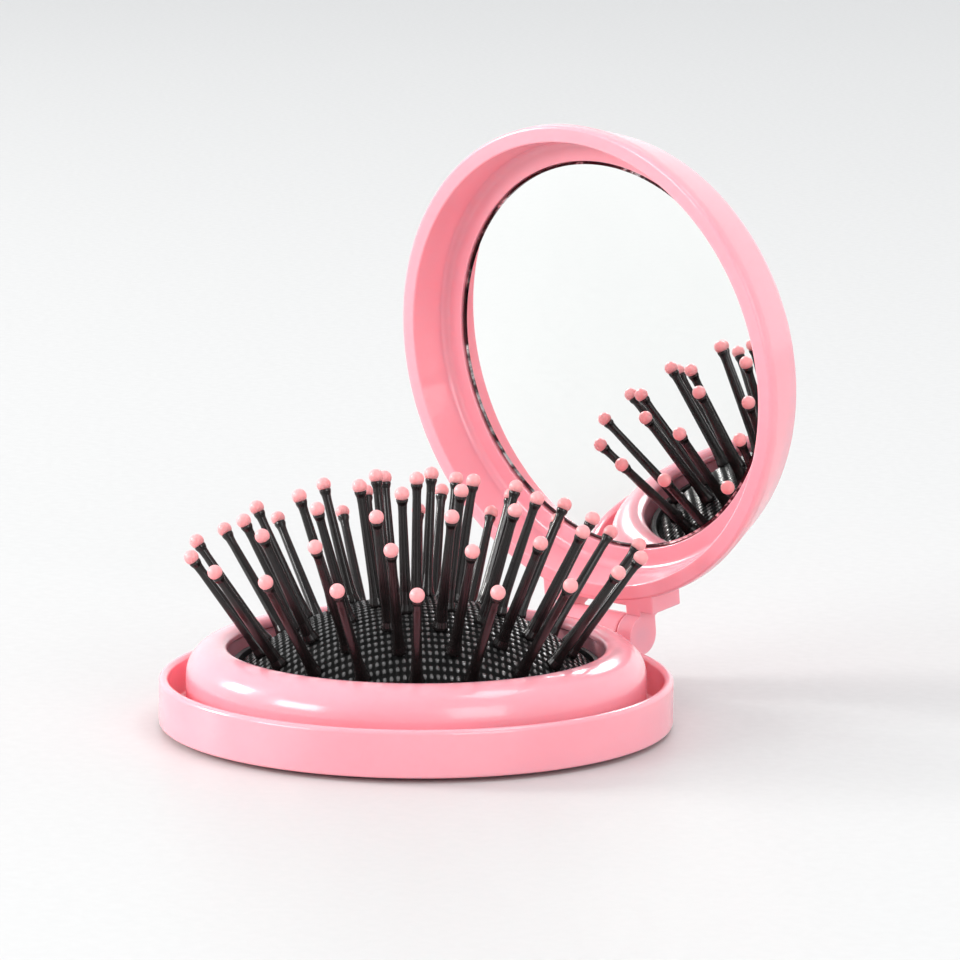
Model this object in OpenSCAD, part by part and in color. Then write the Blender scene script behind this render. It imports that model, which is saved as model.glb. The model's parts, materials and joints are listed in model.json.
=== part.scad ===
// Folding hairbrush with mirror: a round push-up brush in a base, under a lid that holds a mirror.
// Sizes are in millimetres. The origin is the centre of the foot that stands on the table, +Z is up
// and the hinge is on the +Y side. The lid is drawn shut over the base, then swung open by lid_open.

/* [Base ring] */
// Outer diameter of the base ring
ring_d = 65; // [62:0.5:68]
// Height of the ring's lower edge above the table
ring_lift = 0.6; // [0.4:0.1:0.9]
// Height of the ring from its lower edge to its rim
ring_h = 5.9; // [5.5:0.1:6.4]
// Wall of the ring
ring_wall = 1.2; // [1:0.1:1.5]
// Thickness of the web inside the ring
web_t = 1.2; // [0.9:0.1:1.6]
// Wall of the sleeve that the push dish slides in
sleeve_t = 1.0; // [0.8:0.1:1.2]

/* [Collar] */
// Gap between the ring's wall and the collar
collar_gap = 2.2; // [2:0.1:2.6]
// Height of the collar's crest above the ring's rim
collar_rise = 4.2; // [3.8:0.1:4.6]
// Thickness of the collar's shell
collar_t = 1.3; // [1.1:0.1:1.5]
// Width of the collar from its outer edge to the opening that the bristles stand in
collar_w = 5.25; // [4.9:0.05:5.6]
// Width of the round between the crest and the opening
crest_w = 1.35; // [1.1:0.05:1.6]
// Height of the round between the crest and the opening
crest_round = 0.9; // [0.6:0.1:1.1]

/* [Push dish] */
// Thickness of the dish's floor
floor_t = 1.2; // [1:0.1:1.5]
// Wall of the dish's skirt
skirt_t = 1.2; // [1:0.1:1.4]
// How far the collar's lip reaches inwards past the sleeve
lip_w = 1.75; // [1.6:0.05:2]
// Number of guide lugs on the sleeve, each in a slot of the skirt
lug_count = 3; // [2:1:6]
// Width of one guide lug
lug_w = 3; // [2:0.5:4]
// Height of one guide lug
lug_h = 0.8; // [0.6:0.1:1]
// How far the frame rises on the dish while the lid shuts
frame_travel = 7.0; // [6:0.1:7.2]

/* [Cushion and bristles] */
// Thickness of the plate under the cushion
plate_t = 1.4; // [1:0.1:1.8]
// How far the plate sinks in the dish while the lid shuts
pad_travel = 3.6; // [3.2:0.1:3.8]
// Height of the cushion's crown above the table
crown_z = 16; // [15:0.1:17]
// Height of the cushion's side above the plate, from where its dome rises
side_h = 1.05; // [0.9:0.05:1.3]
// Thickness of the rubber
rubber_t = 1.4; // [1:0.1:1.6]
// Length of a bristle from the rubber to the centre of its ball
bristle_l = 15.5; // [13:0.1:17]
// Diameter of a bristle's shaft at its top
shaft_d = 1.1; // [0.9:0.1:1.5]
// Diameter of the flare at a bristle's foot
flare_d = 2.1; // [1.8:0.1:2.6]
// Diameter of the ball on a bristle
ball_d = 1.85; // [1.6:0.05:2.3]
// Distance from the feet of the outer row of bristles to the cushion's side
row_edge = 2.85; // [2.6:0.05:3.4]
// Bristles that each row has more than the row inside it
row_step = 4; // [2:1:4]

/* [Lid] */
// How far the lid's wall stands in from the ring's wall, on each side
lid_step = 0.9; // [0.6:0.1:1.2]
// Thickness of the lid's back
lid_back = 2.35; // [1.5:0.05:2.6]
// How much narrower the lid is, on each side, where its back begins to round
lid_taper = 1.9; // [1.2:0.1:2.2]
// Depth from the rim to the front of the mirror
mirror_depth = 5.8; // [5.4:0.1:6.1]
// Angle that the lid stands open, in degrees
lid_open = 83; // [70:1:110]

/* [Mirror] */
// Width of the bezel from its outer edge to the mirror
bezel_w = 2.6; // [2.4:0.1:3.4]
// Thickness of the mirror
mirror_t = 1.0; // [0.8:0.1:1.6]
// Width of the mirror's ground edge
bevel_w = 0.8; // [0.3:0.1:1]
// Thickness of the adhesive foam behind the mirror
foam_t = 0.35; // [0.3:0.05:0.5]

/* [Hinge] */
// Distance from the ring's wall to the hinge's axis
hinge_out = 3.15; // [3:0.05:3.6]
// Height of the hinge's axis above the ring's rim
hinge_up = 0.8; // [0.6:0.1:1]
// Diameter of the hinge's barrel
barrel_d = 5.2; // [4.6:0.1:5.4]
// Diameter of the hinge's pin
pin_d = 1.6; // [1.2:0.1:2]
// Width of the knuckle on the base ring
knuckle_w = 9.2; // [8:0.1:10]
// Width of one arm on the lid
arm_w = 2.4; // [2:0.1:3]
// Width of the lid's flange at the arms
flange_w = 19.0; // [17:0.1:22]

/* [Clearances] */
// Gap between the lid's rim and the base ring with the lid shut
lid_gap = 0.35; // [0.3:0.05:0.5]
// Gap between the lid's rim and the collar with the lid shut
collar_clear = 0.4; // [0.3:0.05:0.6]
// Gap round a part that slides
slide_gap = 0.3; // [0.25:0.05:0.4]
// Gap between the dish's skirt and the collar's lip, which rests on it
seat_gap = 0.15; // [0.1:0.05:0.3]
// Gap at each side of the hinge's knuckle
side_gap = 0.3; // [0.2:0.05:0.4]
// Running clearance round the hinge's pin
pin_gap = 0.05; // [0.03:0.01:0.08]
// Clearance round parts that are pressed or glued in
fit_gap = 0.05; // [0.04:0.01:0.1]

/* [Hidden] */
$fn = 96;

PINK = [0.98, 0.62, 0.68];
BLACK = [0.07, 0.07, 0.08];
STEEL = [0.72, 0.73, 0.75];
MIRROR = [0.86, 0.89, 0.91];

// Base ring and collar
ring_r = ring_d / 2;
ring_in = ring_r - ring_wall;
rim_z = ring_lift + ring_h;
web_z = ring_lift + web_t;
collar_r = ring_in - collar_gap;
crest_z = rim_z + collar_rise;
opening_r = collar_r - collar_w;
crest_r = opening_r + crest_w;
under_z = crest_z - collar_t;
sleeve_in = opening_r + lip_w;
sleeve_out = sleeve_in + sleeve_t;
sleeve_drop = 0.8;
sleeve_top = under_z - sleeve_drop;
edge_round = 0.4;

// Push dish
dish_r = sleeve_in - slide_gap;
dish_in = dish_r - skirt_t;
skirt_top = under_z - seat_gap;
slot_back = 0.3;
slot_r = dish_in + slot_back;
slot_low = ring_lift - slide_gap;
slot_h = frame_travel + lug_h + 2 * slide_gap;
lug_r = slot_r + slide_gap;
bead_r = 0.3;

// Plate, clamp, cushion and bristles
plate_r = dish_in - 2 * slide_gap;
pad_rest = 0.2;
plate_low = floor_t + pad_rest + pad_travel;
plate_z = plate_low + plate_t;
flange_t = 0.6;
clamp_wall = 0.3;
clamp_w = 1.0;
clamp_h = 1.8;
vent_d = 3;
flange_r = plate_r - clamp_wall - fit_gap;
dome_side = plate_r - clamp_w - 2 * fit_gap;
dome_h = crown_z - plate_z - side_h;
dome_r = (pow(dome_side, 2) + pow(dome_h, 2)) / (2 * dome_h);
dome_z = crown_z - dome_r;
rows = 4;
row_tilt = asin((dome_side - row_edge) / dome_r) / rows;
row_turn = [-61, -30, -55, -47];
first_row = 2;
foot_l = 2.6;
foot_edge = 0.4;
foot_draft = 0.05;
head_d = 2.4;
head_t = 0.5;
head_z = -rubber_t - 2 * fit_gap;
neck_l = 0.9;
neck_edge = 0.3;
neck_d = shaft_d + 0.4;
shank_d = shaft_d + 0.3;
seat_drop = 0.65 * ball_d / 2;
pin_end = bristle_l - seat_drop;

// Lid and mirror, measured from the shut lid's rim
lid_r = ring_r - lid_step;
lid_z = rim_z + lid_gap;
lid_in = collar_r + collar_clear;
lid_floor = mirror_depth + mirror_t + foam_t;
lid_h = lid_floor + lid_back;
back_round = 2.9;
back_c = [lid_r - lid_taper - back_round, lid_h - back_round];
wall_straight = 1.6;
pocket_step = 1.05;
pocket_lead = 0.35;
lid_pocket_r = lid_in - pocket_step;
bezel_edge = 0.1;
bezel_chamfer = 0.3;
bezel_lead = bezel_edge + bezel_chamfer / 2;
bezel_front = mirror_depth - bezel_lead;
bezel_r = lid_pocket_r - fit_gap;
mirror_r = bezel_r - bezel_w;
mirror_gap = 0.15;
bezel_in = mirror_r + mirror_gap;
foam_edge = 1.8;
foam_r = mirror_r - foam_edge;

// Hinge
hinge_y = ring_r + hinge_out;
hinge_z = rim_z + hinge_up;
barrel_r = barrel_d / 2;
pin_r = pin_d / 2;
arm_in = knuckle_w / 2 + side_gap;
arm_out = arm_in + arm_w;
arm_skin = 0.6;
pin_skin = 0.2;
flange_out = 0.3;
shoulder_out = 0.9;
slope_in = 0.6;
flange_low = lid_z + flange_out / 2;
flange_h = lid_z + mirror_depth - flange_low;
flange_root = sqrt(pow(lid_pocket_r, 2) - pow(flange_w / 2, 2)) - edge_round;

// Points of an elliptical arc about c, from angle a0 to angle a1, with or without the first one
function arc(c, a, b, a0, a1, n = 8, first = 0) =
    [for (i = [first:n]) let (t = a0 + (a1 - a0) * i / n) c + [a * cos(t), b * sin(t)]];

// Point where a line from p touches the circle of radius r about c, on the side given by s
function touch(p, c, r, s) =
    let (d = p - c, t = atan2(d.y, d.x) + s * acos(r / norm(d))) c + r * [cos(t), sin(t)];

// Swings a part that is drawn on the shut lid to the open lid
module swung_open() {
    translate([0, hinge_y, hinge_z]) rotate([-lid_open, 0, 0])
        translate([0, -hinge_y, -hinge_z]) children();
}

// Draws a side view, given in Y and Z, as a plate from x0 to x1
module side_plate(x0, x1) {
    translate([x0, 0, 0]) rotate([90, 0, 90]) linear_extrude(height = x1 - x0) children();
}

// Cylinder along X on the hinge's axis
module on_axis(r, x0, x1) {
    translate([x0, hinge_y, hinge_z]) rotate([0, 90, 0]) cylinder(r = r, h = x1 - x0);
}

// ---- Push dish: the cup that stands on the table and that the frame slides on ----

module push_dish() {
    color(PINK) difference() {
        union() {
            rotate_extrude() polygon(concat(
                [[0, 0]],
                arc([dish_r - edge_round, edge_round], edge_round, edge_round, -90, 0, 4),
                [[dish_r, skirt_top], [dish_in, skirt_top], [dish_in, floor_t], [0, floor_t]]
            ));
            detent_bead();
        }
        each_lug() translate([slot_r, -lug_w / 2 - slide_gap, slot_low])
            cube([sleeve_in - slot_r, lug_w + 2 * slide_gap, slot_h]);
    }
}

// Puts a child, drawn on the +X side, at each guide lug, the first of them at the front
module each_lug() {
    for (i = [0:lug_count - 1]) rotate([0, 0, -90 + i * 360 / lug_count]) children();
}

// Bead inside the skirt that the plate has snapped over when the brush is up
module detent_bead() {
    bead_z = plate_low - slide_gap - bead_r;
    bead_reach = slide_gap + bead_r / 2;
    rotate_extrude() polygon([
        [dish_in + fit_gap, bead_z - bead_r], [dish_in, bead_z - bead_r],
        [dish_in - bead_reach, bead_z], [dish_in, bead_z + bead_r],
        [dish_in + fit_gap, bead_z + bead_r]
    ]);
}

// ---- Base ring: outer wall, web and guide sleeve in one moulding, with the hinge's knuckle ----

module base_ring() {
    color(PINK) difference() {
        union() {
            rotate_extrude() polygon(ring_profile());
            guide_lugs();
            knuckle();
        }
        on_axis(pin_r, -knuckle_w, knuckle_w);
    }
}

function ring_profile() = concat(
    [[sleeve_in, ring_lift]],
    arc([ring_r - edge_round, ring_lift + edge_round], edge_round, edge_round, -90, 0, 4),
    arc([ring_r - ring_wall / 2, rim_z - ring_wall / 2], ring_wall / 2, ring_wall / 2, 0, 180, 10),
    [[ring_in, web_z], [sleeve_out, web_z], [sleeve_out, sleeve_top], [sleeve_in, sleeve_top]]
);

module guide_lugs() {
    each_lug() translate([lug_r, -lug_w / 2, ring_lift])
        cube([sleeve_in + sleeve_t / 2 - lug_r, lug_w, lug_h]);
}

// The barrel and the gusset that joins it to the ring's wall
module knuckle() {
    c = [hinge_y, hinge_z];
    low = [ring_r - ring_wall / 2, ring_lift + ring_h / 4];
    high = [ring_r - ring_wall / 2, rim_z - ring_wall / 2];
    on_axis(barrel_r, -knuckle_w / 2, knuckle_w / 2);
    side_plate(-knuckle_w / 2, knuckle_w / 2) polygon([
        low, low + [ring_wall / 2, 0], touch(low + [ring_wall / 2, 0], c, barrel_r, 1),
        c, touch(high, c, barrel_r, -1), high
    ]);
}

// ---- Collar: the domed moulding round the opening ----

module collar() {
    color(PINK) rotate_extrude() polygon(concat(
        [[collar_r, web_z]],
        arc([crest_r, rim_z], collar_r - crest_r, collar_rise, 0, 90, 14),
        arc([crest_r, crest_z - crest_round], crest_w, crest_round, 90, 180, 8, 1),
        [[opening_r, under_z]],
        arc([crest_r, rim_z], collar_r - crest_r - collar_t, collar_rise - collar_t, 90, 0),
        [[collar_r - collar_t, web_z]]
    ));
}

module hinge_pin() {
    color(STEEL) on_axis(pin_r, -arm_out + pin_skin, arm_out - arm_skin - pin_skin);
}

// ---- Brush pad: plate, clamp ring and rubber cushion ----

module bristle_plate() {
    color(BLACK) translate([0, 0, plate_low]) difference() {
        cylinder(r = plate_r, h = plate_t);
        translate([0, 0, -plate_t]) cylinder(d = vent_d, h = 3 * plate_t);
    }
}

// Ring with a hooked section that holds the cushion's flange down on the plate
module cushion_clamp() {
    color(BLACK) rotate_extrude() polygon([
        [plate_r - clamp_wall, plate_z], [plate_r, plate_z],
        [plate_r, plate_z + clamp_h - edge_round], [plate_r - edge_round, plate_z + clamp_h],
        [plate_r - clamp_w, plate_z + clamp_h], [plate_r - clamp_w, plate_z + flange_t],
        [plate_r - clamp_wall, plate_z + flange_t]
    ]);
}

// Puts a child, drawn on +Z from the dome's centre, on the axis of each bristle in a row
module each_bristle(row) {
    n = row == 0 ? 1 : first_row + row_step * row;
    for (i = [0:n - 1]) translate([0, 0, dome_z])
        rotate([0, row * row_tilt, row == 0 ? 0 : row_turn[row - 1] + i * 360 / n]) children();
}

module cushion() {
    color(BLACK) difference() {
        union() {
            intersection() {
                translate([0, 0, dome_z]) sphere(r = dome_r);
                translate([0, 0, plate_z]) cylinder(r = dome_side, h = crown_z);
            }
            translate([0, 0, plate_z]) cylinder(r = flange_r, h = flange_t);
        }
        translate([0, 0, dome_z]) sphere(r = dome_r - rubber_t);
        for (row = [0:rows]) each_bristle(row)
            translate([0, 0, dome_r - 2 * rubber_t])
                cylinder(d = shank_d + 2 * fit_gap, h = 3 * rubber_t, $fn = 24);
    }
}

// ---- Bristles: one moulded pin each, with a head under the rubber and a flared foot on it ----

function pin_profile() = [
    [0, head_z - head_t], [head_d / 2, head_z - head_t], [head_d / 2, head_z], [shank_d / 2, head_z],
    [shank_d / 2, fit_gap], [flare_d / 2, fit_gap], [flare_d / 2 - foot_draft, foot_edge],
    [(flare_d + shank_d) / 4, foot_l / 2], [shank_d / 2, foot_l],
    [shaft_d / 2, pin_end - neck_l], [neck_d / 2, pin_end - neck_edge],
    [neck_d / 2, pin_end], [0, pin_end]
];

module bristle_row(row) {
    color(BLACK) each_bristle(row) translate([0, 0, dome_r])
        rotate_extrude($fn = 24) polygon(pin_profile());
}

// Balls that sit on the flat ends of the bristles
module tip_row(row) {
    color(PINK) each_bristle(row) translate([0, 0, dome_r + bristle_l]) difference() {
        sphere(d = ball_d, $fn = 32);
        translate([0, 0, -seat_drop - ball_d]) cylinder(d = 2 * ball_d, h = ball_d);
    }
}

// ---- Lid: a shell with the hinge's arms, a bezel, the mirror and its foam ----

function lid_outline() =
    let (lean = touch([lid_r, wall_straight], back_c, back_round, 1) - back_c) concat(
        [[0, 0]],
        arc([lid_r - edge_round, edge_round], edge_round, edge_round, -90, 0, 4),
        [[lid_r, wall_straight]],
        arc(back_c, back_round, back_round, atan2(lean.y, lean.x), 90),
        [[0, lid_h]]
    );

function lid_pocket() = [
    [0, -lid_gap], [lid_in, -lid_gap], [lid_in, edge_round / 2],
    [lid_pocket_r + pocket_lead, bezel_front - bezel_lead],
    [lid_pocket_r, bezel_front], [lid_pocket_r, lid_floor], [0, lid_floor]
];

// Side view of one arm: from the lid's wall down a slope and round the barrel
module arm_side() {
    c = [hinge_y, hinge_z];
    front_y = hinge_y - barrel_r;
    translate(c) circle(r = barrel_r);
    polygon([
        [flange_root, flange_low], [front_y, flange_low], [front_y, hinge_z], c, c + [0, barrel_r],
        [front_y + slope_in, hinge_z + barrel_r], [lid_r + shoulder_out, lid_z + mirror_depth],
        [flange_root, lid_z + mirror_depth]
    ]);
}

module lid_shell() {
    color(PINK) swung_open() difference() {
        union() {
            translate([0, 0, lid_z]) rotate_extrude() polygon(lid_outline());
            for (side = [-1, 1]) {
                side_plate(side > 0 ? arm_in : -arm_out, side > 0 ? arm_out : -arm_in) arm_side();
                translate([side > 0 ? arm_in : -flange_w / 2, flange_root, flange_low])
                    cube([flange_w / 2 - arm_in, lid_r + shoulder_out - flange_root, flange_h]);
            }
            translate([-flange_w / 2, flange_root, flange_low])
                cube([flange_w, lid_r + flange_out - flange_root, flange_h]);
        }
        translate([0, 0, lid_z]) rotate_extrude() polygon(lid_pocket());
        on_axis(pin_r + pin_gap, -2 * arm_out, arm_out - arm_skin);
    }
}

module mirror_bezel() {
    color(PINK) swung_open() translate([0, 0, lid_z]) rotate_extrude() polygon([
        [bezel_in, mirror_depth - bezel_edge],
        [bezel_in + bezel_chamfer, bezel_front],
        [bezel_r - bezel_chamfer, bezel_front], [bezel_r, bezel_front + bezel_edge],
        [bezel_r, lid_floor], [bezel_in, lid_floor]
    ]);
}

module mirror_glass() {
    color(MIRROR) swung_open() translate([0, 0, lid_z + mirror_depth]) {
        cylinder(r1 = mirror_r - bevel_w, r2 = mirror_r, h = bevel_w / 2);
        translate([0, 0, bevel_w / 2]) cylinder(r = mirror_r, h = mirror_t - bevel_w / 2);
    }
}

module mirror_backing() {
    color(BLACK) swung_open() translate([0, 0, lid_z + mirror_depth + mirror_t])
        cylinder(r = foam_r, h = foam_t);
}

push_dish();
base_ring();
collar();
hinge_pin();
bristle_plate();
cushion_clamp();
cushion();
bristle_row(0);  // bristle_center
bristle_row(1);  // bristle_row_1
bristle_row(2);  // bristle_row_2
bristle_row(3);  // bristle_row_3
bristle_row(4);  // bristle_row_4
tip_row(0);  // tip_center
tip_row(1);  // tip_row_1
tip_row(2);  // tip_row_2
tip_row(3);  // tip_row_3
tip_row(4);  // tip_row_4
lid_shell();
mirror_bezel();
mirror_glass();
mirror_backing();
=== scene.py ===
"""A folding hairbrush with a mirror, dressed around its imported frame.

The frame gives every size that it can. What it can't give is a named value in millimetres.
"""
import json
import math
import random

import bpy
import numpy as np
from mathutils import Matrix, Vector


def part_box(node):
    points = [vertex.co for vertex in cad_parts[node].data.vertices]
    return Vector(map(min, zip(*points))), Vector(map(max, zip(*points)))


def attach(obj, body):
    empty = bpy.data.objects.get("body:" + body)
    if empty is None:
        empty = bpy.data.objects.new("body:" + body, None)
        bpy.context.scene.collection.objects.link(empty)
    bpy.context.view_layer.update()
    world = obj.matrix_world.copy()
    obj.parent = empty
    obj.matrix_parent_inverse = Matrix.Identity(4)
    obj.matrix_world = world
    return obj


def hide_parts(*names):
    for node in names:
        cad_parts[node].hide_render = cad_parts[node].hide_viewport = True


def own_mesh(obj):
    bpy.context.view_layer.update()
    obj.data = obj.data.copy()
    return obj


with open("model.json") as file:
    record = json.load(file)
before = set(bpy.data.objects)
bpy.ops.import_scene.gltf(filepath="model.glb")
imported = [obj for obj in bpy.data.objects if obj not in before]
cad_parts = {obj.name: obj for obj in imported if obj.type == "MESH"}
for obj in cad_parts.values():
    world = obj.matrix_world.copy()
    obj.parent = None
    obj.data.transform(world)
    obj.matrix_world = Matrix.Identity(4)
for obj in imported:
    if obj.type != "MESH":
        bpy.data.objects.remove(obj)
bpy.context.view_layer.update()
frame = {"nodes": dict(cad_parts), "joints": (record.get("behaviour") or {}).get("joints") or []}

MM = 0.001
nodes = frame["nodes"]
joints = {j["name"]: j for j in frame["joints"]}
dice = random.Random(7)


def high(node):
    """Highest corner of a CAD node, in millimetres."""
    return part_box(node)[1] / MM


def low(node):
    """Lowest corner of a CAD node, in millimetres."""
    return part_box(node)[0] / MM


# ---- Sizes in millimetres ----

HINGE_Y = joints["lid_hinge"]["pos_m"][1] / MM
HINGE_Z = joints["lid_hinge"]["pos_m"][2] / MM
LID_OPEN = -joints["lid_hinge"]["range_deg"][0]

# Ring: outer wall with a round rim, web, and the sleeve that guides the dish
RING_R = high("base_ring").x
RING_LOW = low("base_ring").z
RIM_UNDER_HINGE = 0.8
RIM_Z = HINGE_Z - RIM_UNDER_HINGE
RING_WALL = 1.2
RING_EDGE = 0.35
WEB_Z = low("collar").z
WEB_FILLET_OUT = 0.4
WEB_FILLET_IN = 0.3
DISH_GAP = 0.3
SLEEVE_IN = high("push_dish").x + DISH_GAP
SLEEVE_T = 1.0
SLEEVE_OUT = SLEEVE_IN + SLEEVE_T
SLEEVE_GAP = 0.8
SLEEVE_EDGE_LOW = 0.15
SLEEVE_EDGE_IN = 0.2
SLEEVE_EDGE_OUT = 0.1

# Collar: a shell with a domed outside round the opening
COLLAR_R = high("collar").x
CREST_Z = high("collar").z
COLLAR_T = 1.3
COLLAR_W = 5.25
OPENING_R = COLLAR_R - COLLAR_W
CREST_IN = 1.35
CREST_R = OPENING_R + CREST_IN
CREST_ROUND = 0.9
COLLAR_EDGE = 0.12
UNDER_Z = CREST_Z - COLLAR_T
SLEEVE_TOP = UNDER_Z - SLEEVE_GAP

# Cushion: a dome whose edge stands on the plate inside the clamp, with a raised net of threads
PLATE_R = high("bristle_plate").x
PLATE_Z = high("bristle_plate").z
CROWN_Z = high("cushion").z
CLAMP_W = 1.1
DOME_SIDE = PLATE_R - CLAMP_W
DOME_EDGE_H = 1.05
DOME_H = CROWN_Z - PLATE_Z - DOME_EDGE_H
DOME_R = (DOME_SIDE**2 + DOME_H**2) / (2 * DOME_H)
DOME_Z = CROWN_Z - DOME_R
GRAIN_PITCH = (0.82, 1.25)
GRAIN_H = 0.24
GRAIN_STEP = 0.137
GRAIN_TURN = math.radians(46.2)
GRAIN_FADE = 0.6
GRAIN_CLEAR = 0.02
THREAD_SHARE = 0.33     # half of a thread's width, as a share of the pitch
THREAD_WAVE = 0.25      # how much lower a thread lies under a crossing, as a share of its height

# Bristles: their rows, and the profile of one with its ball. Heights start at the rubber.
ROWS = 4
OUTER_ROW_IN = 2.85
ROW_TILT = math.degrees(math.asin((DOME_SIDE - OUTER_ROW_IN) / DOME_R)) / ROWS
ROW_TURN = [0, -61, -30, -55, -47]
ROW_COUNT = [1, 6, 10, 14, 18]
TILT_SPREAD = 0.35
TURN_SPREAD = 0.5
BRISTLE_L = 15.5
SUNK = 1.6
SHANK_R = 0.7
SHANK_TOP = 2.8
FLARE_R = 1.05
FLARE_LOW = 0.02
FLARE_TOP = 0.4
FLARE_SLOPE = 0.03
HOLLOW_TOP = 1.1
HOLLOW_IN = 0.04
SHAFT_R = 0.55
SHAFT_SPREAD = 0.04
NECK_R = 0.75
NECK_H = 0.3
SPREAD_H = 0.8
SHAFT_END = 1.7
BALL_R = 0.925
BALL_SEAT = 0.65        # where the ball is cut flat, as a share of its radius
BALL_EDGE = 0.08
BALL_EDGE_TURN = 4
SEAT_DROP = BALL_SEAT * BALL_R

# Lid, drawn shut: heights start at its rim, and it opens downwards
LID_INSET = 0.9
LID_R = RING_R - LID_INSET
LID_SEAM = 0.35
LID_Z = RIM_Z + LID_SEAM
COLLAR_GAP = 0.4
LID_IN = COLLAR_R + COLLAR_GAP
LID_H = 9.5
LID_TAPER = 1.9
LID_EDGE_OUT = 0.45
LID_EDGE_IN = 0.25
BACK_ROUND = 2.9
WALL_STRAIGHT = 1.6
MIRROR_R = high("mirror_glass").x
MIRROR_DEPTH = 5.8
MIRROR_T = 1.0
SILVER_BACK = 0.25
SILVER_STEP = 0.02
BEVEL_W = 0.32
POCKET_TAPER = 1.05
POCKET_R = LID_IN - POCKET_TAPER
POCKET_STEP_R = 0.3
POCKET_STEP_Z = 0.25
POCKET_FILLET = 0.2
BEZEL_PROUD = 0.25
BEZEL_FRONT = MIRROR_DEPTH - BEZEL_PROUD
BEZEL_GAP = 0.15
BEZEL_EDGE = 0.18
BEZEL_EDGE_BACK = 0.1
BEZEL_HOLLOW = 1.1
BEZEL_RISE = 2.0
BEZEL_FACE_R = POCKET_R + 0.27
BEZEL_TOP_R = POCKET_R + 0.55
BEZEL_BACK_R = POCKET_R + 0.8
FOAM_T = 0.35
LID_FLOOR = MIRROR_DEPTH + MIRROR_T + FOAM_T

# Hinge: the ring's knuckle, and the lid's flange with a shoulder and an arm on either side
BARREL_R = 2.6
KNUCKLE_W = 9.2
KNUCKLE_EDGE = 0.22
GUSSET_LIFT = 1.475
ARM_GAP = 0.3
ARM_IN = KNUCKLE_W / 2 + ARM_GAP
ARM_W = 2.4
ARM_OUT = ARM_IN + ARM_W
ARM_EDGE = 0.2
ARM_SKIN = 0.6
PIN_HOLE_R = 0.85
FLANGE_W = 19.0
FLANGE_OUT = 0.3
FLANGE_EDGE = 0.3
FLANGE_BITE = 0.4
FLANGE_DEPTH = 4
SHOULDER_OUT = 0.9
SHOULDER_EDGE = 0.25
SLOPE_IN = 0.6

# Drawing: steps round the large pieces and the small ones, straight ends where the parts of an
# outline meet, how far a cutter stands past what it cuts, and how edges are eased and shaded
TURNS = 256
BRISTLE_TURNS = 28
BALL_TURNS = 32
BARREL_STEPS = 28
STUB = 1
PAST = 1
EASE_STEPS = 3
EASE_ANGLE = 35
SHARP = 40
SHARP_SMALL = 50
SHARP_MIRROR = 10

# With the lid shut, in the pad's own frame: the slope along which the outer balls lean in.
LEAN = math.radians(15)

# Camera: angle round the brush, angle above the table and roll in degrees, distance, lens and
# sensor, what it sees, and the point that it aims at
VIEW_AZIMUTH = 42.23
VIEW_ELEVATION = 9.75
VIEW_ROLL = 0.44
VIEW_DISTANCE = 593.8
VIEW_LENS = 176.51
SENSOR_W = 36
CLIP_START = 10
CLIP_END = 50000
AIM_Z = 12
AIM_RIGHT = 7.85
AIM_UP = 19.15

# Room: its brightness behind the brush and on the camera's side, its colour, and the floor's size
ROOM_BACK = 1.33
ROOM_FRONT = 0.5
ROOM_COLOUR = (0.97, 0.985, 1.0, 1)
FLOOR_HALF = 4000

# Soft lights: distance, direction (to the right, to the front, up), size, power and colour.
# Distances and sizes are in metres, and powers in watts. The lights face the middle of the brush.
MIDDLE = (0, 0.01, 0.03)
WHITE = (1, 1, 1)
WARM = (1, 0.985, 0.96)
SOFT_LIGHTS = {
    "window_high": (1.25, (-0.97, -0.24, 0.46), (0.3, 0.1), 7.0, WARM),
    "window_low": (1.25, (-0.97, -0.24, 0.32), (0.3, 0.1), 5.0, WARM),
    "left": (1.2, (-0.8, 0.45, 0.28), (0.5, 0.3), 5.5, WHITE),
    "above": (0.9, (0.38, 0.04, 0.93), (0.4, 0.25), 1.6, WHITE),
    "right": (1.2, (0.5, 0.82, 0.33), (0.6, 0.7), 5.0, WHITE),
}


# ---- Mesh helpers ----

def arc(c, a, b, a0, a1, n):
    """Points (r, z) of an elliptical arc about c, from angle a0 to a1 in degrees."""
    angles = [math.radians(a0 + (a1 - a0) * i / n) for i in range(n + 1)]
    return [(c[0] + a * math.cos(t), c[1] + b * math.sin(t)) for t in angles]


def rounded(corners, n=5):
    """An open outline whose corners (r, z, radius) are rounded where the radius isn't 0."""
    out = []
    for i, (x, y, radius) in enumerate(corners):
        p = Vector((x, y))
        if radius == 0 or i in (0, len(corners) - 1):
            out.append((x, y))
            continue
        before = (Vector(corners[i - 1][:2]) - p).normalized()
        after = (Vector(corners[i + 1][:2]) - p).normalized()
        half = before.angle(after) / 2
        centre = p + (before + after).normalized() * radius / math.sin(half)
        start = p + before * radius / math.tan(half) - centre
        end = p + after * radius / math.tan(half) - centre
        a0 = math.atan2(start.y, start.x)
        turn = (math.atan2(end.y, end.x) - a0 + math.pi) % (2 * math.pi) - math.pi
        for k in range(n + 1):
            t = a0 + turn * k / n
            out.append((centre.x + radius * math.cos(t), centre.y + radius * math.sin(t)))
    return out


def new_object(name, points, faces):
    """A mesh object with points in millimetres, smooth-shaded."""
    mesh = bpy.data.meshes.new(name)
    mesh.from_pydata([Vector(p) * MM for p in points], [], faces)
    mesh.validate()
    mesh.shade_smooth()
    obj = bpy.data.objects.new(name, mesh)
    bpy.context.scene.collection.objects.link(obj)
    return obj


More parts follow.
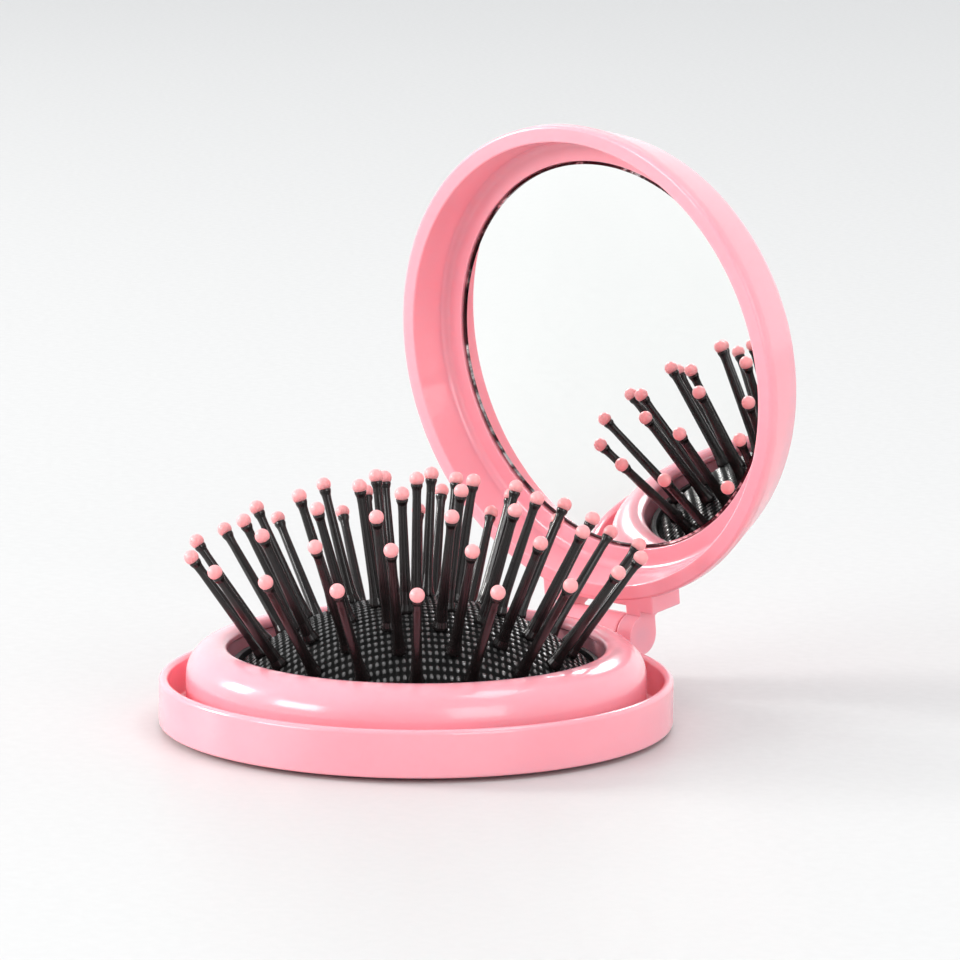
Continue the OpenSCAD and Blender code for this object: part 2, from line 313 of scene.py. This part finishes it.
def lathe(name, outline, turns):
    """Turns an outline of (r, z) about Z. It is closed on itself, or ends on the axis at both ends."""
    closed = outline[0][0] > 0
    points, rings = [], []
    for r, z in outline:
        if r == 0:
            rings.append([len(points)])
            points.append((0, 0, z))
            continue
        rings.append(list(range(len(points), len(points) + turns)))
        for k in range(turns):
            t = 2 * math.pi * k / turns
            points.append((r * math.cos(t), r * math.sin(t), z))
    faces = []
    pairs = list(zip(rings, rings[1:])) + ([(rings[-1], rings[0])] if closed else [])
    for a, b in pairs:
        for k in range(turns):
            m = (k + 1) % turns
            if len(a) == 1:
                faces.append((a[0], b[m], b[k]))
            elif len(b) == 1:
                faces.append((a[k], a[m], b[0]))
            else:
                faces.append((a[k], a[m], b[m], b[k]))
    return new_object(name, points, faces)


def prism(name, outline, x0, x1):
    """A plate from x0 to x1 with a side view of (y, z) points, drawn anticlockwise."""
    n = len(outline)
    points = [(x, y, z) for x in (x0, x1) for y, z in outline]
    faces = [tuple(range(n))[::-1], tuple(range(n, 2 * n))]
    faces += [(i, (i + 1) % n, n + (i + 1) % n, n + i) for i in range(n)]
    return new_object(name, points, faces)


def apply_modifiers(obj):
    """Gives an object its evaluated mesh and clears its modifiers."""
    graph = bpy.context.evaluated_depsgraph_get()
    mesh = bpy.data.meshes.new_from_object(obj.evaluated_get(graph))
    obj.modifiers.clear()
    obj.data = mesh
    return obj


def eased(obj, width):
    """Rounds an object's sharp edges."""
    bevel = obj.modifiers.new("edges", "BEVEL")
    bevel.width = width * MM
    bevel.segments = EASE_STEPS
    bevel.limit_method = "ANGLE"
    bevel.angle_limit = math.radians(EASE_ANGLE)
    return apply_modifiers(obj)


def combine(obj, other, operation):
    """Adds another object to this one, or cuts it away, and deletes the other."""
    boolean = obj.modifiers.new("combine", "BOOLEAN")
    boolean.operation = operation
    boolean.object = other
    boolean.solver = "EXACT"
    apply_modifiers(obj)
    bpy.data.objects.remove(other)


def even_shading(obj, sharp=SHARP):
    """Smooth shading that keeps large faces flat and breaks at sharp edges."""
    obj.data.shade_smooth()
    obj.data.set_sharp_from_angle(angle=math.radians(sharp))
    weighted = obj.modifiers.new("shading", "WEIGHTED_NORMAL")
    weighted.keep_sharp = True


def on_open_lid(obj):
    """Swings a piece that is drawn on the shut lid to the open lid."""
    hinge = Vector((0, HINGE_Y, HINGE_Z)) * MM
    swing = Matrix.Rotation(math.radians(-LID_OPEN), 4, "X")
    obj.data.transform(Matrix.Translation(hinge) @ swing @ Matrix.Translation(-hinge))


def finished(obj, material, body, slot, *replaced):
    """Gives a piece its material and body, and hides the CAD nodes that it stands for. The slot is not used.
    """
    obj.data.materials.clear()
    obj.data.materials.append(material)
    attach(obj, body)
    if replaced:
        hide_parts(*replaced)


# ---- Materials ----

def shader(name, **values):
    """A material and its Principled shader, with values set on the shader's own sockets."""
    material = bpy.data.materials.new(name)
    material.use_nodes = True
    node = material.node_tree.nodes["Principled BSDF"]
    for key, value in values.items():
        node.inputs[key.replace("_", " ")].default_value = value
    return material, node


def add_noise(material, scale, detail=3, rough=0.5):
    """A noise texture on the object's own coordinates, in metres."""
    tree = material.node_tree
    place = tree.nodes.new("ShaderNodeTexCoord")
    noise = tree.nodes.new("ShaderNodeTexNoise")
    noise.inputs["Scale"].default_value = scale
    noise.inputs["Detail"].default_value = detail
    noise.inputs["Roughness"].default_value = rough
    tree.links.new(place.outputs["Object"], noise.inputs["Vector"])
    return noise


def vary(material, node, socket, texture, a, b, low_at=0.3, high_at=0.7):
    """Drives a shader socket between a and b by a texture."""
    tree = material.node_tree
    ramp = tree.nodes.new("ShaderNodeValToRGB")
    ramp.color_ramp.elements[0].position = low_at
    ramp.color_ramp.elements[1].position = high_at
    for element, value in zip(ramp.color_ramp.elements, (a, b)):
        element.color = (*value, 1) if hasattr(value, "__len__") else (value, value, value, 1)
    tree.links.new(texture.outputs[0], ramp.inputs["Fac"])
    tree.links.new(ramp.outputs["Color"], node.inputs[socket])


def add_bump(material, node, noise, strength, distance):
    """A bump from a noise, with its distance in millimetres."""
    tree = material.node_tree
    bump = tree.nodes.new("ShaderNodeBump")
    bump.inputs["Strength"].default_value = strength
    bump.inputs["Distance"].default_value = distance * MM
    tree.links.new(noise.outputs["Fac"], bump.inputs["Height"])
    tree.links.new(bump.outputs["Normal"], node.inputs["Normal"])


def pink_plastic(name, depth):
    """Gloss moulded plastic that lets light in to a depth in metres, with faint flow marks and wear."""
    material, node = shader(name, Subsurface_Weight=0.5, Subsurface_Scale=depth,
                            IOR=1.5, Coat_Weight=0.3, Coat_Roughness=0.06)
    node.inputs["Subsurface Radius"].default_value = (1.0, 0.3, 0.26)
    flow = add_noise(material, 55, 2)
    vary(material, node, "Base Color", flow, (0.957, 0.352, 0.417), (0.972, 0.377, 0.442))
    vary(material, node, "Roughness", add_noise(material, 900, 4), 0.17, 0.25)
    add_bump(material, node, add_noise(material, 420, 2), 0.08, 0.02)
    return material


def pink_tip():
    """Satin dipped plastic of the balls."""
    material, node = shader("pink_tip", Subsurface_Weight=0.3, Subsurface_Scale=0.0008,
                            IOR=1.48, Coat_Weight=0.1, Coat_Roughness=0.2)
    node.inputs["Subsurface Radius"].default_value = (1.0, 0.35, 0.3)
    vary(material, node, "Base Color", add_noise(material, 700, 2), (0.93, 0.36, 0.37), (0.955, 0.41, 0.42))
    vary(material, node, "Roughness", add_noise(material, 2500, 3), 0.32, 0.44)
    add_bump(material, node, add_noise(material, 1800, 2), 0.2, 0.02)
    return material


def black_nylon():
    """Semi-gloss nylon with faint unevenness."""
    material, node = shader("black_nylon", IOR=1.53, Specular_IOR_Level=0.45)
    vary(material, node, "Base Color", add_noise(material, 600, 3),
         (0.007, 0.005, 0.005), (0.012, 0.009, 0.009))
    vary(material, node, "Roughness", add_noise(material, 1500, 4), 0.16, 0.22)
    add_bump(material, node, add_noise(material, 700, 1), 0.08, 0.01)
    return material


def add_wave(material, turn, pitch):
    """Bands across a direction in the XY plane, brightest on every whole pitch in millimetres.

    The wave texture goes through 20 radians per unit of its scale.
    """
    tree = material.node_tree
    place = tree.nodes.new("ShaderNodeTexCoord")
    swing = tree.nodes.new("ShaderNodeMapping")
    swing.inputs["Rotation"].default_value = (0, 0, -turn)
    wave = tree.nodes.new("ShaderNodeTexWave")
    wave.inputs["Scale"].default_value = 2 * math.pi / (20 * pitch * MM)
    wave.inputs["Phase Offset"].default_value = math.pi
    tree.links.new(place.outputs["Object"], swing.inputs["Vector"])
    tree.links.new(swing.outputs["Vector"], wave.inputs["Vector"])
    return wave


def black_rubber():
    """Rubber that shines, with painted highlights: its colour is painted paler at the crossings of its
    raised net.
    """
    material, node = shader("black_rubber", IOR=1.5)
    tree = material.node_tree
    knots = tree.nodes.new("ShaderNodeMath")
    knots.operation = "MULTIPLY"
    for k, pitch in enumerate(GRAIN_PITCH):
        wave = add_wave(material, GRAIN_TURN + k * math.pi / 2, pitch)
        tree.links.new(wave.outputs["Fac"], knots.inputs[k])
    # Painted highlights: the colour is painted paler at the net's crossings. The roughness and shine that
    # follow the crossings are real.
    vary(material, node, "Base Color", knots, (0.005, 0.005, 0.005), (0.1, 0.097, 0.097), 0.3, 0.95)
    vary(material, node, "Roughness", knots, 0.7, 0.24, 0.1, 0.7)
    vary(material, node, "Specular IOR Level", knots, 0.1, 1.0, 0.3, 0.8)
    add_bump(material, node, add_noise(material, 5000, 3), 0.3, 0.02)
    return material


def black_plastic():
    """Matt moulded plastic of the plate and its clamp."""
    material, node = shader("black_plastic", IOR=1.5)
    vary(material, node, "Base Color", add_noise(material, 900, 3),
         (0.012, 0.012, 0.012), (0.022, 0.021, 0.021))
    vary(material, node, "Roughness", add_noise(material, 2000, 3), 0.42, 0.58)
    return material


def mirror_silver():
    """Silvering behind the glass, faintly uneven."""
    material, node = shader("mirror_silver", Metallic=1.0, Roughness=0.0)
    vary(material, node, "Base Color", add_noise(material, 60, 2), (0.89, 0.905, 0.9), (0.91, 0.925, 0.92))
    return material


def ground_glass():
    """The mirror's ground edge, with chips in its silver and painted glints: patches of its reflectance are
    painted dark and bright.
    """
    material, node = shader("ground_glass", Metallic=0.9)
    chips_and_glints = add_noise(material, 170, 6, 0.75)
    # Painted glints: the edge's reflectance is painted near black in some patches and near white in others,
    # over chips in its silver.
    vary(material, node, "Base Color", chips_and_glints, (0.05, 0.015, 0.02), (0.8, 0.76, 0.76), 0.52, 0.6)
    vary(material, node, "Roughness", add_noise(material, 2500, 3), 0.08, 0.22)
    add_bump(material, node, add_noise(material, 1200, 2), 0.3, 0.04)
    return material


def pin_steel():
    """Drawn steel of the hinge's pin."""
    material, node = shader("pin_steel", Metallic=1.0)
    vary(material, node, "Base Color", add_noise(material, 800, 2), (0.55, 0.55, 0.56), (0.64, 0.64, 0.65))
    vary(material, node, "Roughness", add_noise(material, 4000, 3), 0.22, 0.36)
    return material


def black_foam():
    """Adhesive foam behind the mirror."""
    material, node = shader("foam_black", IOR=1.45)
    vary(material, node, "Base Color", add_noise(material, 3000, 4), (0.03, 0.03, 0.03), (0.08, 0.08, 0.08))
    vary(material, node, "Roughness", add_noise(material, 3000, 4), 0.8, 0.95)
    return material


PINK = pink_plastic("pink_plastic", 0.002)
PINK_LID = pink_plastic("pink_plastic_lid", 0.0035)
PINK_BEZEL = pink_plastic("pink_plastic_bezel", 0.0006)
TIP = pink_tip()
NYLON = black_nylon()
RUBBER = black_rubber()
BLACK = black_plastic()
SILVER = mirror_silver()
GLASS_EDGE = ground_glass()
STEEL = pin_steel()
FOAM = black_foam()


# ---- Camera, floor and lights ----

def place_camera():
    """The photograph's view. Returns the level direction to the right, and the one to the camera."""
    a, e, r = (math.radians(x) for x in (VIEW_AZIMUTH, VIEW_ELEVATION, VIEW_ROLL))
    back = Vector((math.sin(a) * math.cos(e), -math.cos(a) * math.cos(e), math.sin(e)))
    level = Vector((math.cos(a), math.sin(a), 0))
    up = back.cross(level)
    right = math.cos(r) * level + math.sin(r) * up
    top = -math.sin(r) * level + math.cos(r) * up
    aim = Vector((0, 0, AIM_Z)) + AIM_RIGHT * level + AIM_UP * up
    camera = bpy.data.objects.new("camera", bpy.data.cameras.new("camera"))
    camera.data.lens = VIEW_LENS
    camera.data.sensor_width = SENSOR_W
    camera.data.clip_start = CLIP_START * MM
    camera.data.clip_end = CLIP_END * MM
    turn = Matrix((right, top, back)).transposed().to_4x4()
    camera.matrix_world = Matrix.Translation((aim + back * VIEW_DISTANCE) * MM) @ turn
    bpy.context.scene.collection.objects.link(camera)
    bpy.context.scene.camera = camera
    return level, back


def soft_light(name, place, size, power, colour):
    """An area light that faces the brush. Place is in metres from the middle of the brush."""
    light = bpy.data.lights.new(name, "AREA")
    light.shape = "RECTANGLE"
    light.size, light.size_y = size
    light.energy = power
    light.color = colour
    obj = bpy.data.objects.new(name, light)
    obj.location = Vector(MIDDLE) + place
    obj.rotation_euler = place.to_track_quat("Z", "Y").to_euler()
    bpy.context.scene.collection.objects.link(obj)


def light_room(front):
    """A white room that is darker on the side that the camera stands on."""
    world = bpy.data.worlds.new("room")
    world.use_nodes = True
    tree = world.node_tree
    place = tree.nodes.new("ShaderNodeTexCoord")
    toward = tree.nodes.new("ShaderNodeVectorMath")
    toward.operation = "DOT_PRODUCT"
    toward.inputs[1].default_value = front
    strength = tree.nodes.new("ShaderNodeMapRange")
    strength.inputs["From Min"].default_value = -1
    strength.inputs["To Min"].default_value = ROOM_BACK
    strength.inputs["To Max"].default_value = ROOM_FRONT
    tree.links.new(place.outputs["Generated"], toward.inputs[0])
    tree.links.new(toward.outputs["Value"], strength.inputs["Value"])
    tree.links.new(strength.outputs["Result"], tree.nodes["Background"].inputs["Strength"])
    tree.nodes["Background"].inputs["Color"].default_value = ROOM_COLOUR
    bpy.context.scene.world = world


def make_floor():
    """A plain floor of pale paper, its colour painted a little lighter further away as painted light where
    the lamps' light falls off.
    """
    a = FLOOR_HALF
    floor = new_object("floor", [(-a, -a, 0), (a, -a, 0), (a, a, 0), (-a, a, 0)], [(0, 1, 2, 3)])
    material, node = shader("floor_paper", IOR=1.45, Specular_IOR_Level=0.3)
    tree = material.node_tree
    near = tree.nodes.new("ShaderNodeTexGradient")
    near.gradient_type = "SPHERICAL"
    tree.links.new(tree.nodes.new("ShaderNodeTexCoord").outputs["Object"], near.inputs["Vector"])
    # Painted light: the colour grows lighter away from the brush, standing in for light on the far floor.
    vary(material, node, "Base Color", near, (0.645, 0.644, 0.641), (0.603, 0.602, 0.599), 0.0, 0.8)
    vary(material, node, "Roughness", add_noise(material, 600, 3), 0.38, 0.5)
    floor.data.materials.append(material)


def light_scene(level, back):
    """A white room, a window behind on the left, and soft lights above and in front."""
    front = Vector((back.x, back.y, 0)).normalized()
    light_room(front)
    for name, (distance, (right, ahead, up), size, power, colour) in SOFT_LIGHTS.items():
        place = distance * (right * level + ahead * front + Vector((0, 0, up)))
        soft_light(name, place, size, power, colour)
    bpy.context.scene.view_settings.view_transform = "Standard"


# ---- Base: ring with its knuckle, and collar ----

def ring_outline():
    """Outer wall with a full round rim, web and guide sleeve."""
    wall = RING_WALL / 2
    groove_r = RING_R - RING_WALL
    bottom = rounded([(SLEEVE_IN, RING_LOW + STUB, 0), (SLEEVE_IN, RING_LOW, SLEEVE_EDGE_LOW),
                      (RING_R, RING_LOW, RING_EDGE), (RING_R, RING_LOW + STUB, 0)])[1:]
    rim = arc((RING_R - wall, RIM_Z - wall), wall, wall, 0, 180, 14)
    inside = rounded([(groove_r, WEB_Z + 2 * STUB, 0), (groove_r, WEB_Z, WEB_FILLET_OUT),
                      (SLEEVE_OUT, WEB_Z, WEB_FILLET_IN), (SLEEVE_OUT, SLEEVE_TOP, SLEEVE_EDGE_OUT),
                      (SLEEVE_IN, SLEEVE_TOP, SLEEVE_EDGE_IN), (SLEEVE_IN, RING_LOW + STUB, 0)])
    return bottom + rim + inside


def touch(p, c, r, side):
    """Angle in degrees on a circle of radius r about c where a line from p touches it."""
    dx, dy = p[0] - c[0], p[1] - c[1]
    return math.degrees(math.atan2(dy, dx) + side * math.acos(r / math.hypot(dx, dy)))


def barrel_outline(low_point, high_point, c, r):
    """Side view of a barrel with a gusset that runs to two points on its -Y side."""
    a0 = touch(low_point, c, r, 1)
    a1 = touch(high_point, c, r, -1)
    while a1 < a0:
        a1 += 360
    return [low_point] + arc(c, r, r, a0, a1, BARREL_STEPS) + [high_point]


def make_ring():
    """The ring, with the hinge's knuckle on a gusset that grows out of its wall."""
    ring = lathe("base_ring_shell", ring_outline(), TURNS)
    middle = RING_R - RING_WALL / 2
    foot_z = RING_LOW + GUSSET_LIFT
    side = barrel_outline((RING_R, foot_z), (middle, RIM_Z - RING_WALL / 2), (HINGE_Y, HINGE_Z), BARREL_R)
    side.append((middle, foot_z))
    knuckle = eased(prism("knuckle", side, -KNUCKLE_W / 2, KNUCKLE_W / 2), KNUCKLE_EDGE)
    combine(ring, knuckle, "UNION")
    even_shading(ring)
    finished(ring, PINK, "frame", "pink_shell", "base_ring")


def make_collar():
    """The collar: a dome with a crest round the opening, and a hollow underside."""
    inner_a, inner_b = COLLAR_R - CREST_R - COLLAR_T, CREST_Z - RIM_Z - COLLAR_T
    outline = (
        arc((CREST_R, RIM_Z), COLLAR_R - CREST_R, CREST_Z - RIM_Z, 0, 90, 28)
        + arc((CREST_R, CREST_Z - CREST_ROUND), CREST_R - OPENING_R, CREST_ROUND, 90, 180, 12)[1:]
        + rounded([(OPENING_R, CREST_Z, 0), (OPENING_R, UNDER_Z, COLLAR_EDGE), (CREST_R, UNDER_Z, 0)])[1:]
        + arc((CREST_R, RIM_Z), inner_a, inner_b, 80, 0, 12)
        + [(COLLAR_R - COLLAR_T, WEB_Z), (COLLAR_R, WEB_Z)]
    )
    collar = lathe("collar_dome", outline, TURNS)
    even_shading(collar)
    finished(collar, PINK, "frame", "pink_shell", "collar")


# ---- Lid: shell with flange and arms, bezel and mirror ----

def lid_outline():
    """The lid's case from the middle of its pocket over the rim to the middle of its back."""
    back_c = (LID_R - LID_TAPER - BACK_ROUND, LID_H - BACK_ROUND)
    start = touch((LID_R, WALL_STRAIGHT), back_c, BACK_ROUND, 1)
    outer = (
        [(0, LID_H)] + arc(back_c, BACK_ROUND, BACK_ROUND, 90, start, 14)
        + rounded([(LID_R, WALL_STRAIGHT, 0), (LID_R, 0, LID_EDGE_OUT), (LID_IN, 0, LID_EDGE_IN),
                   (POCKET_R + POCKET_STEP_R, BEZEL_FRONT - POCKET_STEP_Z, 0), (POCKET_R, BEZEL_FRONT, 0),
                   (POCKET_R, LID_FLOOR, POCKET_FILLET), (0, LID_FLOOR, 0)])
    )
    return outer[::-1]


def make_flange():
    """The lid's flange with its shoulders and arms, cut to the lid's wall and bored for the pin."""
    c = (HINGE_Y, HINGE_Z)
    root = LID_IN + FLANGE_BITE
    inside = root - FLANGE_DEPTH
    front_y = HINGE_Y - BARREL_R
    low_z, high_z = LID_Z + FLANGE_OUT / 2, LID_Z + MIRROR_DEPTH

    def block(name, out, x0, x1, edge):
        side_view = [(inside, low_z), (LID_R + out, low_z), (LID_R + out, high_z), (inside, high_z)]
        return eased(prism(name, side_view, x0, x1), edge)

    flange = block("flange", FLANGE_OUT, -FLANGE_W / 2, FLANGE_W / 2, FLANGE_EDGE)
    arms = []
    for side in (-1, 1):
        x0, x1 = sorted((side * ARM_IN, side * FLANGE_W / 2))
        arms.append(block("shoulder", SHOULDER_OUT, x0, x1, SHOULDER_EDGE))
        x0, x1 = sorted((side * ARM_IN, side * ARM_OUT))
        outline = (
            [(inside, low_z), (front_y, low_z)]
            + arc(c, BARREL_R, BARREL_R, 180, 450, 30)
            + [(front_y + SLOPE_IN, HINGE_Z + BARREL_R), (LID_R + SHOULDER_OUT, high_z), (inside, high_z)]
        )
        arms.append(eased(prism("arm", outline, x0, x1), ARM_EDGE))
    low_end, high_end = LID_Z - 2 * PAST, LID_Z + LID_H
    pocket = lathe("pocket", [(0, low_end), (root, low_end), (root, high_end), (0, high_end)], TURNS)
    for arm in arms:
        combine(flange, arm, "UNION")
    combine(flange, pocket, "DIFFERENCE")
    hole = arc(c, PIN_HOLE_R, PIN_HOLE_R, 0, 360, 32)[:-1]
    combine(flange, prism("pin_hole", hole, -ARM_OUT - PAST, ARM_OUT - ARM_SKIN), "DIFFERENCE")
    return flange


def make_lid():
    """The lid's case with its flange, drawn shut and swung open."""
    shell = lathe("lid_case", lid_outline(), TURNS)
    for v in shell.data.vertices:
        v.co.z += LID_Z * MM
    combine(shell, make_flange(), "UNION")
    on_open_lid(shell)
    even_shading(shell)
    finished(shell, PINK_LID, "lid", "pink_shell", "lid_shell")


def make_bezel():
    """Flat ring round the mirror, with a soft hollow where it meets the lid's wall."""
    inside = MIRROR_R + BEZEL_GAP
    front, floor = LID_Z + BEZEL_FRONT, LID_Z + LID_FLOOR
    top = front - BEZEL_RISE
    bezel = lathe("lid_bezel", rounded([
        (inside, floor - 0.5 * STUB, 0), (inside, front, BEZEL_EDGE), (BEZEL_FACE_R, front, BEZEL_HOLLOW),
        (BEZEL_TOP_R, top, 0), (BEZEL_BACK_R, top, 0), (BEZEL_BACK_R, floor, BEZEL_EDGE_BACK),
        (inside, floor, BEZEL_EDGE_BACK), (inside, floor - 0.2 * STUB, 0)], 8), TURNS)
    on_open_lid(bezel)
    even_shading(bezel)
    finished(bezel, PINK_BEZEL, "lid", "pink_shell", "mirror_bezel")


def make_mirror():
    """The mirror, with its silver drawn as deep in the glass as it appears."""
    z = LID_Z + MIRROR_DEPTH
    silver = MIRROR_R - BEVEL_W
    mirror = lathe("mirror_disc", [
        (0, z + SILVER_BACK), (silver, z + SILVER_BACK), (silver + SILVER_STEP, z),
        (MIRROR_R, z + BEVEL_W / 2), (MIRROR_R, z + MIRROR_T), (0, z + MIRROR_T)], TURNS)
    on_open_lid(mirror)
    even_shading(mirror, SHARP_MIRROR)
    finished(mirror, SILVER, "lid", "mirror", "mirror_glass")
    mirror.data.materials.append(GLASS_EDGE)
    front = Matrix.Rotation(math.radians(-LID_OPEN), 3, "X") @ Vector((0, 0, -1))
    for face in mirror.data.polygons:
        face.material_index = 0 if face.normal.dot(front) > 0.99 else 1


# ---- Brush pad: cushion, bristles and balls ----

def grain(x, y):
    """Height of the moulded net: two families of threads that pass over and under each other."""
    u = (x * math.cos(GRAIN_TURN) + y * math.sin(GRAIN_TURN)) / GRAIN_PITCH[0]
    v = (-x * math.sin(GRAIN_TURN) + y * math.cos(GRAIN_TURN)) / GRAIN_PITCH[1]
    odd = np.where((np.round(u) + np.round(v)) % 2 == 0, 1, -1)

    def thread(across, over):
        crown = np.sqrt(np.clip(1 - (np.abs(across - np.round(across)) / THREAD_SHARE) ** 2, 0, 1))
        return crown * (1 - THREAD_WAVE + THREAD_WAVE * over)

    along_u, along_v = np.cos(np.pi * (u - np.round(u))), np.cos(np.pi * (v - np.round(v)))
    return np.maximum(thread(u, odd * along_v), thread(v, -odd * along_u))


def round_grid(radius, step):
    """A square grid of points (x, y) that fills a circle, with its faces.

    It also gives the edges that bound it and their points, which are moved out to the circle.
    """
    count = int(radius / step) + 1
    index, points, faces = {}, [], []
    for i in range(-count, count + 1):
        for j in range(-count, count + 1):
            x, y = i * step, j * step
            if x * x + y * y <= (radius - GRAIN_CLEAR) ** 2:
                index[i, j] = len(points)
                points.append((x, y))
    for (i, j), a in index.items():
        b, c, d = index.get((i + 1, j)), index.get((i + 1, j + 1)), index.get((i, j + 1))
        if None not in (b, c, d):
            faces.append((a, b, c, d))
    used = sorted({v for f in faces for v in f})
    place = {v: k for k, v in enumerate(used)}
    flat = np.array([points[v] for v in used])
    faces = [tuple(place[v] for v in f) for f in faces]
    edges = dict.fromkeys((p, q) for f in faces for p, q in zip(f, f[1:] + f[:1]))
    border = [(p, q) for p, q in edges if (q, p) not in edges]
    rim = sorted({p for e in border for p in e})
    r = np.hypot(flat[rim, 0], flat[rim, 1])
    flat[rim] *= (radius / r)[:, None]
    return flat, faces, border, rim


def make_cushion():
    """The domed cushion with its net in relief, closed by a skirt and a flat underside."""
    flat, faces, border, rim = round_grid(DOME_SIDE, GRAIN_STEP)
    x, y = flat[:, 0], flat[:, 1]
    z = DOME_Z + np.sqrt(DOME_R**2 - x**2 - y**2)
    fade = np.clip((DOME_SIDE - np.hypot(x, y)) / GRAIN_FADE, 0, 1)
    normal = np.stack([x, y, z - DOME_Z], 1) / DOME_R
    top = np.stack([x, y, z], 1) + normal * (GRAIN_H * (grain(x, y) - 1) * fade)[:, None]
    verts = [tuple(p) for p in top]
    under = {}
    for p in rim:
        under[p] = len(verts)
        verts.append((flat[p, 0], flat[p, 1], PLATE_Z))
    centre = len(verts)
    verts.append((0, 0, PLATE_Z))
    for p, q in border:
        faces.append((q, p, under[p], under[q]))
        faces.append((under[q], under[p], centre))
    cushion = new_object("rubber_cushion", verts, faces)
    finished(cushion, RUBBER, "pad", "black_rubber", "cushion")
    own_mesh(cushion)


def bristle_outline():
    """A moulded bristle from its end under the rubber to the flat that the ball sits on."""
    end = BRISTLE_L - SEAT_DROP
    hollow_r = (FLARE_R + SHANK_R) / 2 - HOLLOW_IN
    through = [(0, -SUNK, 0), (SHANK_R, -SUNK, 0), (SHANK_R, FLARE_LOW, 0)]
    foot = [(FLARE_R, FLARE_LOW, 0.06), (FLARE_R - FLARE_SLOPE, FLARE_TOP, 0.1), (hollow_r, HOLLOW_TOP, 0.8)]
    shaft = [(SHANK_R, SHANK_TOP, 1.5), (SHAFT_R, end - SHAFT_END, 2)]
    neck = [(SHAFT_R + SHAFT_SPREAD, end - SPREAD_H, 0.6), (NECK_R, end - NECK_H, 0.2),
            (NECK_R, end, 0.05), (0, end, 0)]
    return rounded(through + foot + shaft + neck, 4)


def ball_outline():
    """A ball that is cut flat where it sits, with a small round at the cut."""
    cut = math.degrees(math.asin(-BALL_SEAT))
    seat_z = BRISTLE_L - SEAT_DROP
    ball = arc((0, BRISTLE_L), BALL_R, BALL_R, cut + BALL_EDGE_TURN, 90, 16)
    return [(0, seat_z), (ball[0][0] - BALL_EDGE, seat_z)] + ball[:-1] + [(0, BRISTLE_L + BALL_R)]


def copy_of(shape, name, place):
    """A smooth copy of a shape with its own mesh, moved to its place on the dome."""
    obj = bpy.data.objects.new(name, shape.data.copy())
    bpy.context.scene.collection.objects.link(obj)
    obj.data.transform(place)
    obj.data.shade_smooth()
    obj.data.set_sharp_from_angle(angle=math.radians(SHARP_SMALL))
    return obj


def shift_with_lid(obj):
    """Gives a small piece its own mesh."""
    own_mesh(obj)


def stretch_with_lid(obj, axis):
    """Gives a bristle its own mesh. The axis is not used."""
    axis = Vector(axis)
    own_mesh(obj)


def press_in(bristle, ball, tip, outer):
    """Gives a bristle and its ball their own meshes; for an outer bristle it first works out its lean from
    its tip.
    """
    if outer:
        out = Vector((tip.x, tip.y, 0)).normalized()
        axis = (out * math.cos(LEAN) + Vector((0, 0, math.sin(LEAN)))).normalized()
        stretch_with_lid(bristle, axis)
        shift_with_lid(ball)
    else:
        stretch_with_lid(bristle, (0, 0, 1))
        shift_with_lid(ball)


def make_bristles():
    """Rows of bristles and balls that stand square on the dome, each with a small lean of its own."""
    bristle_shape = lathe("bristle", bristle_outline(), BRISTLE_TURNS)
    ball_shape = lathe("ball", ball_outline(), BALL_TURNS)
    for row in range(ROWS + 1):
        ending = f"row_{row}" if row else "center"
        for k in range(ROW_COUNT[row]):
            tilt = row * ROW_TILT + dice.uniform(-TILT_SPREAD, TILT_SPREAD)
            turn = ROW_TURN[row] + 360 * k / ROW_COUNT[row] + dice.uniform(-TURN_SPREAD, TURN_SPREAD)
            place = (
                Matrix.Translation((0, 0, DOME_Z * MM)) @ Matrix.Rotation(math.radians(turn), 4, "Z")
                @ Matrix.Rotation(math.radians(tilt), 4, "Y") @ Matrix.Translation((0, 0, DOME_R * MM))
            )
            tip = place @ Vector((0, 0, BRISTLE_L * MM)) / MM
            bristle = copy_of(bristle_shape, f"bristle_{row}_{k:02d}", place)
            finished(bristle, NYLON, "pad", "black_bristle", f"bristle_{ending}")
            ball = copy_of(ball_shape, f"ball_{row}_{k:02d}", place)
            finished(ball, TIP, "pad", "pink_tip", f"tip_{ending}")
            press_in(bristle, ball, tip, row == ROWS)
    bpy.data.objects.remove(bristle_shape)
    bpy.data.objects.remove(ball_shape)


def dress_frame_nodes():
    """Materials of the CAD nodes that stay."""
    for name, material in (("push_dish", PINK), ("hinge_pin", STEEL), ("bristle_plate", BLACK),
                           ("cushion_clamp", BLACK), ("mirror_backing", FOAM)):
        mesh = nodes[name].data
        mesh.materials.clear()
        mesh.materials.append(material)


level, back = place_camera()
make_floor()
light_scene(level, back)
make_ring()
make_collar()
make_lid()
make_bezel()
make_mirror()
make_cushion()
make_bristles()
dress_frame_nodes()
